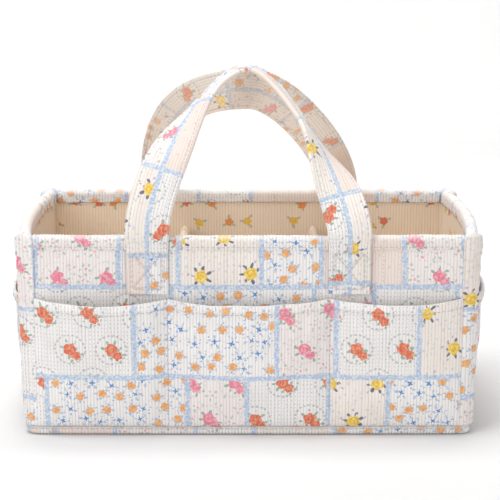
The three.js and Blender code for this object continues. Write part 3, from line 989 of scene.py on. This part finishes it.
class Band:
    """A pocket band: flat at its seams, slack and sagging at the middle of each bay."""

    def __init__(self, wall, seams, slack, relief, fold_share):
        self.wall = wall
        self.slack = slack
        self.relief = relief
        self.fold_share = fold_share
        self.shift = wall.print_shift + pocket_print_shift
        self.borders = [-wall.panel_half, *seams, wall.panel_half]

    def bay(self, distance):
        inside = [i for i, border in enumerate(self.borders[:-1]) if distance >= border]
        first = min(inside[-1] if inside else 0, len(self.borders) - 2)
        return self.borders[first], self.borders[first + 1]

    def fullness(self, distance, power=2):
        start, end = self.bay(distance)
        return max(0, 1 - abs((distance - (start + end) / 2) / ((end - start) / 2)) ** power)

    def mouth(self, distance):
        wave = ripple(mouth_wave, distance, 0, self.shift)
        return pocket_mouth - (pocket_sag + wave) * self.fullness(distance)

    def inner(self, distance, z):
        share = (z - layer_bottom) / (self.mouth(distance) - layer_bottom)
        share = min(1, max(0, share))
        rise = foot_slack_share + (1 - foot_slack_share) * math.sqrt(share)
        full = self.fullness(distance, pocket_fullness)
        slack = self.slack * full * rise * min(1, share / foot_slack_share)
        start, end = self.bay(distance)
        seam = max(0, min(distance - start, end - distance))
        fade = math.exp(-seam / pucker_reach) * (1 - math.exp(-seam / pucker_start))
        fold = math.sin(2 * math.pi * z / pucker_pitch + 3 * soft_noise(z, distance, 0.03, self.shift))
        rest = self.fold_share * self.relief.at(distance * self.wall.turn, z - layer_bottom)
        under = max(0, self.wall.padding_rise(distance, z))
        return gap + under + max(0, slack + rest + pucker_depth * fade * (fold + 1))

    def outer(self, distance, z):
        """The outer face, with a rolled hem that rises quickly and is pressed in along its stitches."""
        hem_start = self.mouth(distance) - pocket_hem
        into = max(0, z - hem_start) / pocket_hem
        hem = pocket_hem_extra * min(1, into / 0.07) + pocket_roll * math.sqrt(max(0, into * (1.04 - into)))
        stitched = math.exp(-(((z - hem_start - pocket_stitch_rise) / pocket_stitch_width) ** 2))
        thickness = cloth + hem - pocket_stitch_dip * stitched - groove(distance + self.shift)
        return self.inner(distance, z) + thickness

    def rows(self, distance):
        mouth = self.mouth(distance)
        below = spread(30, layer_bottom, mouth - pocket_hem - 0.0004)
        hem = spread(5, mouth - pocket_hem + 0.0006, mouth - pocket_hem * 0.45)
        return below + hem + [mouth - pocket_hem * share for share in (0.3, 0.14, 0.06, 0.02, 0)]

    def make(self):
        wall = self.wall
        distances = []
        for start, end in zip(self.borders, self.borders[1:]):
            distances += rib_places(start, end, self.shift)[1 if distances else 0:]
        piece = wall_layer(
            f"{wall.name}_pocket", wall, distances, self.rows, self.inner, self.outer,
            wall_print, shift=pocket_print_shift,
        )
        settle(piece, "box", "printed_cotton", f"{wall.name}_pocket_band")
        line = []
        for d in spread(220, -wall.panel_half, wall.panel_half):
            z = self.mouth(d) - pocket_hem + pocket_stitch_rise
            line.append(wall.spot(d, z, self.outer(d, z) + groove(d + self.shift)))
        stitches(f"{wall.name}_pocket_hem_stitches", [line], wall.out, "box")
        heights = spread(60, layer_bottom, pocket_mouth - 0.0005)
        seams = [
            [wall.spot(seam, z, self.outer(seam, z) + 0.0001) for z in heights]
            for seam in self.borders[1:-1]
        ]
        if seams:
            stitches(f"{wall.name}_pocket_seam_stitches", seams, wall.out, "box")


def stitches(name, paths, normal, body, blend=None):
    """Rows of thread that lie on the cloth along paths of points. normal may be one direction,
    or a list of them for each path."""
    vertices = []
    faces = []
    corners = []
    for index, path in enumerate(paths):
        normals = normal[index] if isinstance(normal, list) else [normal] * len(path)
        lengths = travelled(path)
        count = int(lengths[-1] / stitch_pitch)
        at = 0
        for number in range(count):
            middle = (number + 0.5) * lengths[-1] / count
            ends = []
            for place in (middle - stitch_length / 2, middle + stitch_length / 2):
                while at < len(path) - 2 and lengths[at + 1] <= place:
                    at += 1
                span = lengths[at + 1] - lengths[at]
                ends.append(path[at].lerp(path[at + 1], (place - lengths[at]) / span))
            out = normals[at].normalized()
            side = (ends[1] - ends[0]).normalized().cross(out).normalized()
            base = len(vertices)
            vertices.append(ends[0])
            for share in (0.2, 0.8):
                centre = ends[0].lerp(ends[1], share)
                for k in range(stitch_sides):
                    turn = 2 * math.pi * k / stitch_sides
                    ray = side * math.cos(turn) + out * math.sin(turn)
                    vertices.append(centre + ray * stitch_radius + out * stitch_radius * 0.4)
            vertices.append(ends[1])
            start = number * stitch_pitch
            end = start + stitch_length
            last = len(vertices) - 1
            for k in range(stitch_sides):
                here, there = base + 1 + k, base + 1 + (k + 1) % stitch_sides
                faces += [
                    (base, there, here),
                    (here, there, there + stitch_sides, here + stitch_sides),
                    (last, here + stitch_sides, there + stitch_sides),
                ]
                corners += [
                    ((start, 0), (start, thread_step), (start + thread_step, 0)),
                    ((start, 0), (start, thread_step), (end, thread_step), (end, 0)),
                    ((end, 0), (start, thread_step), (start, 0)),
                ]
    piece = build(name, vertices, faces, corners, thread_finish)
    if blend:
        blend(piece)
    else:
        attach(piece, body)


def corner_roll(name, wall, following, print_place):
    """The seam allowances of two walls folded together: a soft quarter round with a dome."""
    top = body_height + roll_rise
    dome_start = top - roll_dome
    cap_edge = body_height - roll_cap_height
    tongue = corner_radius - roll_width
    inner_radius = corner_radius - wall_thickness
    middle = inner_radius + wall_thickness / 2

    def section(height, shrink):
        rise = (height - layer_bottom) / (top - layer_bottom)
        side_proud = roll_foot_proud + (roll_side_proud - roll_foot_proud) * rise
        wave = ripple(roll_wave, height, rise, wall.print_shift)
        wave += ripple(roll_sway, height, rise, wall.print_shift)
        wave += roll_cap_proud * smoothstep(height, (cap_edge, cap_edge + roll_cap_slope))
        wave -= roll_cap_dip * math.exp(-(((height - cap_edge) / roll_cap_dip_width) ** 2))
        centre = wall.point(wall.half(height) - corner_radius, height, -corner_radius)
        reach_out, reach_on = (
            corner_radius + (roll_proud if face.is_long else side_proud) + wave
            for face in (wall, following)
        )
        profile = []
        for i, angle in enumerate(spread(roll_arc_steps, 0, math.pi / 2)):
            deep = rib_depth * roll_rib_growth * (i % 4 == 2)
            across = max(tongue, (reach_out - deep) * math.cos(angle))
            onward = max(tongue, (reach_on - deep) * math.sin(angle))
            profile.append((across, onward))
        profile += [(tongue, inner_radius), (inner_radius, inner_radius), (inner_radius, tongue)]
        drawn = [(middle + (a - middle) * shrink, middle + (b - middle) * shrink) for a, b in profile]
        return [centre + wall.out * a + following.out * b for a, b in drawn]

    heights = spread(roll_rows, layer_bottom, dome_start)
    loops = [section(z, 1) for z in heights]
    for angle in spread(8, 0, roll_dome_turn)[1:]:
        heights.append(dome_start + roll_dome * math.sin(angle))
        loops.append(section(heights[-1], math.cos(angle)))

    def coordinate(i, j):
        return (print_place * patch_width + roll_print_step * j, heights[i] + roll_print_rise)

    piece = loft(f"{name}_roll", loops, coordinate, wall_print)
    piece.data.materials.append(lining_cloth)
    count = len(loops[0])
    for polygon in piece.data.polygons[:(len(loops) - 1) * count]:
        loop, place = divmod(polygon.index, count)
        polygon.material_index = int(roll_arc_steps < place < count - 1 and heights[loop] < hem_bottom)
    settle(piece, "box", "printed_cotton", f"{name}_corner_roll")


def outline():
    """The four walls in their order round the box, each with the next one and its reach to the corner."""
    order = [walls[name] for name in ("front", "right", "back", "left")]
    pairs = zip(order, order[1:] + order[:1])
    return [(wall, following, wall.half(foot_high) - corner_radius) for wall, following in pairs]


def way_round():
    return sum(2 * reach + corner_arc for _, __, reach in outline())


def outline_point(place, offset, z):
    """A point at a place along the way round the box, which starts at the front's left corner."""
    for wall, following, reach in outline():
        if place < 2 * reach:
            return wall.point((place / reach - 1) * (wall.half(z) - corner_radius), z, offset)
        place -= 2 * reach
        angle = place / corner_radius
        if angle < math.pi / 2:
            start = wall.point(wall.half(z) - corner_radius, z, -corner_radius)
            way = wall.out * math.cos(angle) + following.out * math.sin(angle)
            return start + way * (corner_radius + offset)
        place -= corner_arc


def foot_binding():
    """The folded strip round the foot, ribbed over its fold, with a stitched upper edge."""
    radius = (foot_high - foot_low) / 2
    middle = foot_low + radius
    places = rib_places(0, way_round(), foot_shift)
    loops = []
    for place in places[:-1]:
        full = radius + ripple(foot_wave, place, 0, 2.2)
        section = []
        for angle in spread(12, -math.pi / 2, math.pi / 2):
            growth = foot_rib_growth + foot_under_growth * max(0, -math.sin(angle))
            fold = full - groove(place + foot_shift) * growth
            section.append((foot_proud - radius + fold * math.cos(angle), middle + fold * math.sin(angle)))
        for angle in spread(8, math.pi / 2, 3 * math.pi / 2):
            offset = -wall_thickness + radius + radius * math.cos(angle)
            section.append((offset, middle + radius * math.sin(angle)))
        loops.append([outline_point(place, offset, z) for offset, z in section])

    def coordinate(i, j):
        return (places[i] + foot_shift, j * foot_print_step + foot_print_rise)

    piece = loft("foot_fold", loops, coordinate, wall_print, ring=True)
    settle(piece, "box", "printed_cotton", "foot_binding")
    line = [outline_point(place, foot_proud - gap, foot_high - foot_stitch_drop) for place in places[:-1]]
    normals = [[(point - Vector((0, 0, point.z))).normalized() for point in line]]
    stitches("foot_stitches", [line], normals, "box")


def floor_layer(name, border, low, high, crown, material):
    """A layer of the floor within a border, whose upper side rises to a crown."""
    loops = [[Vector((x * share, y * share, low)) for x, y in border] for share in floor_rings]
    for share in floor_rings[::-1]:
        level = high + crown * (1 - share ** 4)
        loops.append([Vector((x * share, y * share, level)) for x, y in border])
    return loft(name, loops, lambda i, j: loops[i][j % len(border)].to_tuple()[:2], material)


def floor_cloth():
    low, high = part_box("bottom_outer_panel")
    border = []
    for sign_x, sign_y, start in ((1, -1, -90), (1, 1, 0), (-1, 1, 90), (-1, -1, 180)):
        for angle in spread(6, math.radians(start), math.radians(start + 90)):
            x = sign_x * (high.x - floor_corner) + floor_corner * math.cos(angle)
            border.append((x, sign_y * (high.y - floor_corner) + floor_corner * math.sin(angle)))
    piece = floor_layer("floor_cloth", border, low.z, high.z, 0, wall_print)
    settle(piece, "box", "printed_cotton", "bottom_outer_panel")


def floor_lining():
    """The padded lining, which fills the room between the bowed walls."""
    low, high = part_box("bottom_padding")[0].z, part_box("bottom_lining")[1].z
    places = spread(floor_steps, 0, way_round())[:-1]
    border = [outline_point(place, -wall_thickness - 0.0001, high).to_tuple()[:2] for place in places]
    piece = floor_layer("floor_lining", border, low, high, floor_crown, lining_cloth)
    settle(piece, "box", "lining_cotton", "bottom_lining", "bottom_padding")


def bezier(points, t):
    a, b, c, d = points
    s = 1 - t
    place = a * s ** 3 + b * (3 * s * s * t) + c * (3 * s * t * t) + d * t ** 3
    slope = (b - a) * (3 * s * s) + (c - b) * (6 * s * t) + (d - c) * (3 * t * t)
    return place, slope.normalized()


def strap_frames(wall, handle):
    """The strap from one sewn end to the other: centre, across, normal, width and thickness."""
    root_depth = wall.point(handle_spacing / 2, body_height, strap_inner_offset + strap_thickness / 2).y
    crown = Vector((0, handle["crown_depth"], body_height + handle["crown_height"]))
    legs = zip((-1, 1), handle["rises"], handle["crowns"], handle["twist_shares"])
    frames = []
    for side, rise, reach, twist_shares in legs:
        root = Vector((side * handle_spacing / 2, root_depth, hinge_height + gap / 2))
        points = [root, root + Vector((0, 0, rise)), crown + Vector((side * reach, 0, 0)), crown]
        leg = []
        samples = [bezier(points, i / strap_steps) for i in range(strap_steps + 1)]
        lengths = travelled([centre for centre, _ in samples])
        for (centre, tangent), distance in zip(samples, lengths):
            direction = tangent if side < 0 else -tangent
            twist = handle["twist"] * smoothstep(distance / lengths[-1], twist_shares)
            around = Vector((-direction.z, 0, direction.x)).normalized()
            face = (wall.out - direction * wall.out.dot(direction)).normalized()
            normal = face * math.cos(twist) + around * math.sin(twist)
            leg.append((centre, normal.cross(direction), normal, strap_width, strap_thickness))
        whole = sewn_end(wall, side, leg[0]) + leg
        frames += whole if side < 0 else whole[::-1][1:]
    return frames


def sewn_end(wall, side, root):
    """The flat end below the hinge, from its lower edge up to where the strap comes free."""
    distance = side * handle_spacing / 2 * (1 if wall.out.y < 0 else -1)
    frames = []
    for z in spread(end_rows, strap_end_bottom, hinge_height - gap):
        lift = smoothstep(z, strap_lift_heights)
        offset = gap + (strap_inner_offset - gap) * lift + strap_end_thickness / 2
        free = smoothstep(z, strap_free_heights)
        centre = wall.point(distance, z, offset)
        centre.y += (root[0].y - centre.y) * free
        width = strap_end_width + (strap_width - strap_end_width) * free
        thickness = strap_end_thickness + (strap_thickness - strap_end_thickness) * free
        frames.append((centre, root[1], wall.out.copy(), width, thickness))
    return frames


def strap_profile(share, thickness):
    """Half the strap's thickness at a share of its half width: full, with seams near the edges."""
    edge = max(0, 1 - abs(share) ** 10) ** 0.5
    dip = math.exp(-(((abs(share) - strap_seam_share) / strap_seam_spread) ** 2))
    return max(strap_least, thickness / 2 * edge - strap_seam_dip * dip)


def box_relief(row, share):
    """How far a sewn strap end stands out: low along the box and its cross, full between them."""
    height = (hinge_height - gap - strap_end_bottom) * (box_high_row - box_low_row) / end_rows
    reach = box_reach * strap_end_width / 2
    up = height * (row - box_low_row) / (box_high_row - box_low_row)
    across = abs(share * strap_end_width / 2)
    outside = max(-up, up - height, across - reach)
    to_cross = abs(across - abs(reach * (2 * up / height - 1))) * height / math.hypot(height, 2 * reach)
    nearest = outside if outside > 0 else min(up, height - up, reach - across, to_cross)
    sewn = math.exp(-((nearest / box_dip_width) ** 2))
    return box_puff * (1 - sewn) * (outside < 0) - box_dip * sewn


def handle_strap(name, wall, handle, nodes):
    """A padded strap, sewn down at both ends, in one piece across its hinge."""
    frames = strap_frames(wall, handle)
    half_width = strap_width / 2
    ribs = rib_places(-half_width * strap_rib_share, half_width * strap_rib_share, 0)
    shares = [-1, -strap_edge_share, *(place / half_width for place in ribs), strap_edge_share, 1]
    print_shift = patch_width * handle["print_column"]
    seed = wall.print_shift
    along = travelled([frame[0] for frame in frames])
    middle = along[-1] / 2
    loops = []
    for index, ((centre, across, normal, width, thickness), distance) in enumerate(zip(frames, along)):
        free = min(1, abs(distance - middle) / middle)
        row = min(index, len(frames) - 1 - index)
        loop = []
        for sign in (1, -1):
            for share in shares[::sign]:
                crease = ripple(strap_crease, distance + share * 0.004, share * 0.013, seed + sign)
                crease += ripple(strap_sway, distance, share * 0.01, seed + 3)
                crease *= (1.25 - free) * (1 - share ** 4)
                deep = groove(share * half_width) * (1 - share ** 6)
                half = strap_profile(share, thickness) + crease - deep
                if sign > 0:
                    half += box_relief(row, share)
                loop.append(centre + across * (share * width / 2) + normal * sign * max(half, strap_least))
        loops.append(loop)
    count = len(loops[0])
    columns = len(shares)
    round_shares = shares + shares[::-1]

    def coordinate(i, j):
        return (round_shares[j % count] * half_width + print_shift, along[i] + seed)

    def bend(piece):
        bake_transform(piece)

    piece = loft(name, loops, coordinate, strap_print)
    # The strap's inner face takes the print with painted shade
    piece.data.materials.append(strap_print_painted_shade)
    for polygon in piece.data.polygons[:(len(loops) - 1) * count]:
        polygon.material_index = int(polygon.index % count >= columns)
    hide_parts(*nodes)
    bend(piece)
    paths = []
    normals = []
    for sign in (1, -1):
        for share in (-strap_seam_share, strap_seam_share):
            paths.append([
                centre + across * (share * width / 2) + normal * sign * strap_profile(share, thickness)
                for centre, across, normal, width, thickness in frames
            ])
            normals.append([frame[2] * sign for frame in frames])
    stitches(f"{name}_edge_stitches", paths, normals, None, blend=bend)
    for side, ends in (("left", frames[:end_rows]), ("right", frames[-end_rows:][::-1])):
        box_stitches(f"{name}_{side}_box_stitches", ends)


def box_stitches(name, ends):
    """A sewn box with a cross in it, which holds a strap's end on the wall."""
    def at(row, share):
        centre, across, normal, width, thickness = ends[row]
        half = strap_profile(share, thickness) + box_relief(row, share)
        return centre + across * (share * width / 2) + normal * half

    rows = list(range(box_low_row, box_high_row + 1))
    shares = spread(len(rows) - 1, -box_reach, box_reach)
    paths = [[at(row, share) for share in shares] for row in (box_low_row, box_high_row)]
    paths += [[at(row, share) for row in rows] for share in (-box_reach, box_reach)]
    paths += [[at(row, share * sign) for row, share in zip(rows, shares)] for sign in (1, -1)]
    stitches(name, paths, ends[0][2], "box")


def divider(side, x, relief):
    """A padded leaf across the box that widens upwards with it, with rounded upper corners and a
    strip of tape on each end."""
    sleeve = f"{side}_divider_sleeve"
    low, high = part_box(sleeve)
    solid = frame["nodes"][sleeve]
    corners = [solid.matrix_world @ vertex.co for vertex in solid.data.vertices]
    foot_reach = max(corner.y for corner in corners if corner.z < low.z + cloth)
    rows = spread(50, low.z, high.z - 0.0004)
    shares = [math.sin(math.pi / 2 * s) for s in spread(90, -1, 1)]
    loops = []
    for z in rows:
        over = max(0, z - (high.z - divider_corner))
        reach = foot_reach + (high.y - foot_reach) * min(1, (z - low.z) / (high.z - divider_corner - low.z))
        width = reach - (divider_corner - math.sqrt(max(0, divider_corner ** 2 - over ** 2)))
        thin = min(1, (high.z - z) / divider_top) ** 0.5
        loop = []
        for sign in (-1, 1):
            for share in shares[::-sign]:
                half = divider_thickness / 2 * max(0, 1 - abs(share) ** 24) ** 0.5 * thin
                rest = divider_fold_share * relief.at(share * reach * sign, z - low.z)
                half = max(divider_edge, half + rest * thin * (1 - share ** 6))
                loop.append(Vector((x + sign * half, share * width, z)))
        loops.append(loop)

    def coordinate(i, j):
        return (loops[i][j % len(loops[0])].y + x * divider_print_spread, rows[i])

    piece = loft(f"{side}_divider_leaf", loops, coordinate, lining_cloth)
    settle(piece, f"{side}_divider", "lining_cotton", sleeve, f"{side}_divider_core")
    for end in ("front", "back"):
        tape_strip(f"{side}_divider_{end}_hook", f"{side}_divider")


def tape_strip(node, body):
    """A short strip of tape: its solid with rounded edges, leaning as the wall does."""
    solid = frame["nodes"][node]
    work = bmesh.new()
    work.from_mesh(solid.data)
    work.transform(solid.matrix_world)
    bmesh.ops.remove_doubles(work, verts=work.verts[:], dist=0.00001)
    bmesh.ops.dissolve_limit(work, angle_limit=0.01, verts=work.verts[:], edges=work.edges[:])
    bmesh.ops.bevel(work, geom=work.edges[:], offset=tape_bevel, segments=3, affect="EDGES", profile=0.5)
    for old in list(work.loops.layers.uv):
        work.loops.layers.uv.remove(old)
    layer = work.loops.layers.uv.new("cloth")
    for face in work.faces:
        face.smooth = True
        for loop in face.loops:
            loop[layer].uv = (loop.vert.co.x + loop.vert.co.y, loop.vert.co.z)
    mesh = bpy.data.meshes.new(f"{node}_strip")
    work.to_mesh(mesh)
    work.free()
    mesh.materials.append(tape_finish)
    settle(add_object(f"{node}_strip", mesh), body, "fastening_tape", node)


def loop_tape(wall):
    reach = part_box(f"{wall.name}_loop_tape")[1].x
    offset = -wall_thickness - gap - tape_thickness
    piece = wall_layer(
        f"{wall.name}_loop_strip", wall, spread(120, -reach, reach),
        spread(10, tape_low, tape_high), offset, offset + tape_thickness, tape_finish,
    )
    settle(piece, "box", "fastening_tape", f"{wall.name}_loop_tape")


def make_camera():
    data = bpy.data.cameras.new("camera")
    data.lens = camera_lens
    data.sensor_width = camera_sensor
    camera = add_object("camera", data)
    back = Vector((0, -math.cos(camera_elevation), math.sin(camera_elevation)))
    camera.location = camera_aim + back * camera_distance
    camera.rotation_euler = back.to_track_quat("Z", "Y").to_euler()
    scene.camera = camera


def make_studio():
    """A pale floor that curves up behind the object, and soft light from above and both sides. The bounce
    is the light that a filled box throws up at its handles."""
    profile = [(studio_front, 0.0)]
    for angle in spread(12, 0, math.pi / 2):
        rise = studio_bend - studio_bend * math.cos(angle)
        profile.append((studio_back + studio_bend * math.sin(angle), rise))
    profile.append((studio_back + studio_bend, studio_height))
    vertices = [Vector((x, y, z)) for x in (-studio_half_width, studio_half_width) for y, z in profile]
    count = len(profile)
    faces = [(i, i + 1, count + i + 1, count + i) for i in range(count - 1)]
    corners = [tuple((vertices[k].x, vertices[k].y + vertices[k].z) for k in face) for face in faces]
    build("studio_floor", vertices, faces, corners, floor_finish)
    world = bpy.data.worlds.new("studio")
    world.use_nodes = True
    feed(world.node_tree.nodes["Background"], {"Color": sky_colour, "Strength": sky_strength})
    scene.world = world
    for name, (place, size, power, target) in lights.items():
        data = bpy.data.lights.new(name, "AREA")
        data.shape = "DISK"
        data.size = size
        data.energy = power
        light = add_object(name, data)
        light.location = place
        light.visible_camera = False
        light.rotation_euler = (Vector(place) - Vector(target)).to_track_quat("Z", "Y").to_euler()
    scene.view_settings.view_transform = "Standard"


make_camera()
make_studio()
layer_height = layer_top - layer_bottom
band_height = pocket_mouth - layer_bottom
long_width, end_width = (2 * walls[name].panel_half for name in ("front", "left"))
long_pad = Relief(long_width, layer_height, pad_growth, pad=padding)
end_pad = Relief(end_width, layer_height, pad_growth, pad=padding)
long_hung = Relief(long_width, band_height, band_growth, seams=long_seams, hung=True)
end_hung = Relief(end_width, band_height, band_growth, hung=True)
for wall in walls.values():
    wall.relief = long_pad if wall.is_long else end_pad
    padded_wall(wall)
    wall_lining(wall)
    rim_binding(wall)
    rim_stitches(wall)
    if wall.is_long:
        Band(wall, long_seams, long_slack, long_hung, 1).make()
    else:
        Band(wall, (), end_slack, end_hung, end_fold_share).make()
for (name, print_place), (wall, following, _) in zip(roll_places.items(), outline()):
    corner_roll(name, wall, following, print_place)
foot_binding()
floor_cloth()
floor_lining()
divider_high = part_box("left_divider_sleeve")[1]
leaf_pad = Relief(2 * divider_high.y, divider_high.z - layer_bottom, pad_growth, pad=padding)
for side, x in divider_places.items():
    divider(side, x, leaf_pad)
for name in handles:
    loop_tape(walls[name])
for name, handle in handles.items():
    nodes = [f"{name}_handle_{part}" for part in ("strap", "left_end", "right_end")]
    handle_strap(f"{name}_carry_handle", walls[name], handle, nodes)
for slot in frame["nodes"]["base_board"].material_slots:
    slot.material = board_finish
